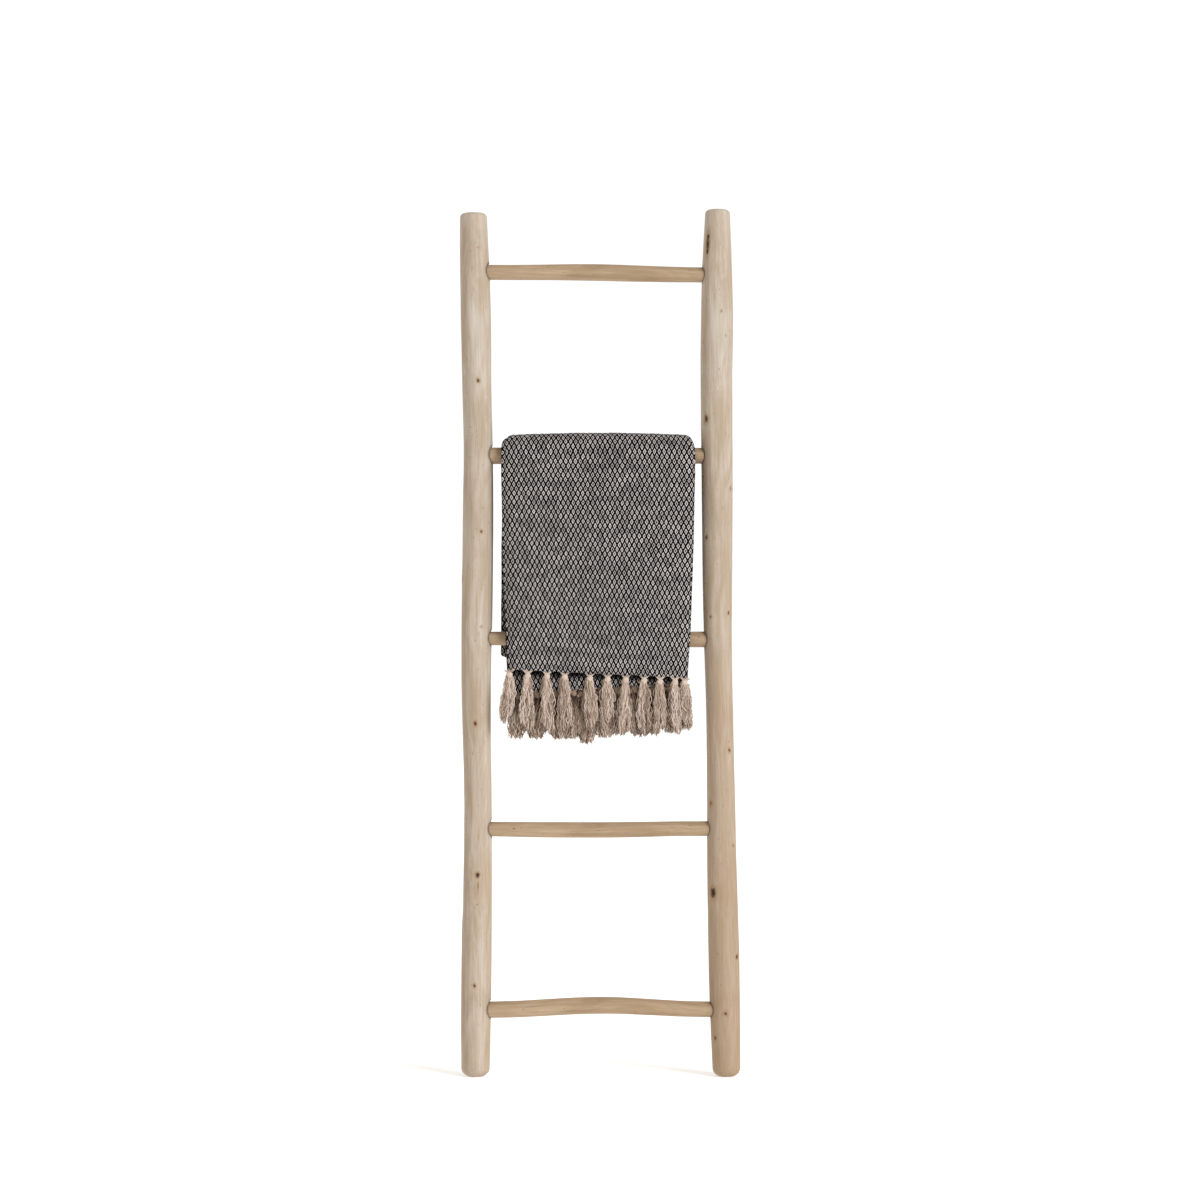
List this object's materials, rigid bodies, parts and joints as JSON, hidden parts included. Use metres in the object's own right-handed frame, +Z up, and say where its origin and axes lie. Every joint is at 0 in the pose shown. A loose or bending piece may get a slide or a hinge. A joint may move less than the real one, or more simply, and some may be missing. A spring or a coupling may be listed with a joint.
{
  "type": "blanket ladder with a draped throw",
  "caption": "Branch-wood leaning ladder with round rungs, used as a rack, and a folded woven throw with knotted tassels hung over one rung.",
  "frame": {"origin": "on the floor, in the middle of the whole object's plan", "axes": "+Z up along the poles, -Y out of the front of the throw, +X to the right when seen from the front"},
  "size_m": [0.486, 0.0808, 1.5],
  "materials": {
    "pole_wood": "bleached, sanded, unvarnished teak branch",
    "rung_wood": "sanded, unvarnished teak branch",
    "peg_wood": "turned hardwood dowel, unvarnished",
    "throw_cloth": "thick woven cotton, black and grey diamonds",
    "tassel_yarn": "loose natural cotton yarn"
  },
  "bodies": {
    "ladder": {"left_pole": "pole_wood", "right_pole": "pole_wood", "rung_1": "rung_wood", "rung_2": "rung_wood", "rung_3": "rung_wood", "rung_4": "rung_wood", "rung_5": "rung_wood", "rung_1_peg_left": "peg_wood", "rung_1_peg_right": "peg_wood", "rung_2_peg_left": "peg_wood", "rung_2_peg_right": "peg_wood", "rung_3_peg_left": "peg_wood", "rung_3_peg_right": "peg_wood", "rung_4_peg_left": "peg_wood", "rung_4_peg_right": "peg_wood", "rung_5_peg_left": "peg_wood", "rung_5_peg_right": "peg_wood"},
    "throw": {"throw": "throw_cloth"},
    "front_fringe": {"front_tassel_1": "tassel_yarn", "front_tassel_2": "tassel_yarn", "front_tassel_3": "tassel_yarn", "front_tassel_4": "tassel_yarn", "front_tassel_5": "tassel_yarn", "front_tassel_6": "tassel_yarn", "front_tassel_7": "tassel_yarn", "front_tassel_8": "tassel_yarn", "front_tassel_9": "tassel_yarn", "front_tassel_10": "tassel_yarn", "front_tassel_11": "tassel_yarn"},
    "back_fringe": {"back_tassel_1": "tassel_yarn", "back_tassel_2": "tassel_yarn", "back_tassel_3": "tassel_yarn", "back_tassel_4": "tassel_yarn", "back_tassel_5": "tassel_yarn", "back_tassel_6": "tassel_yarn", "back_tassel_7": "tassel_yarn", "back_tassel_8": "tassel_yarn", "back_tassel_9": "tassel_yarn", "back_tassel_10": "tassel_yarn", "back_tassel_11": "tassel_yarn"}
  },
  "joints": [
    {"name": "throw_shift", "type": "slide", "parent": "ladder", "child": "throw", "axis": [1, 0, 0], "range_m": [-0.0145, 0.0115]},
    {"name": "front_fringe_swing", "type": "hinge", "parent": "throw", "child": "front_fringe", "pos_m": [0.01265, -0.03425, 0.68834], "axis": [-0.999, 0, 0.0445], "range_deg": [0, 60]},
    {"name": "back_fringe_swing", "type": "hinge", "parent": "throw", "child": "back_fringe", "pos_m": [0.00086, -0.02185, 0.66561], "axis": [0.9984, 0, 0.0557], "range_deg": [0, 60]}
  ]
}
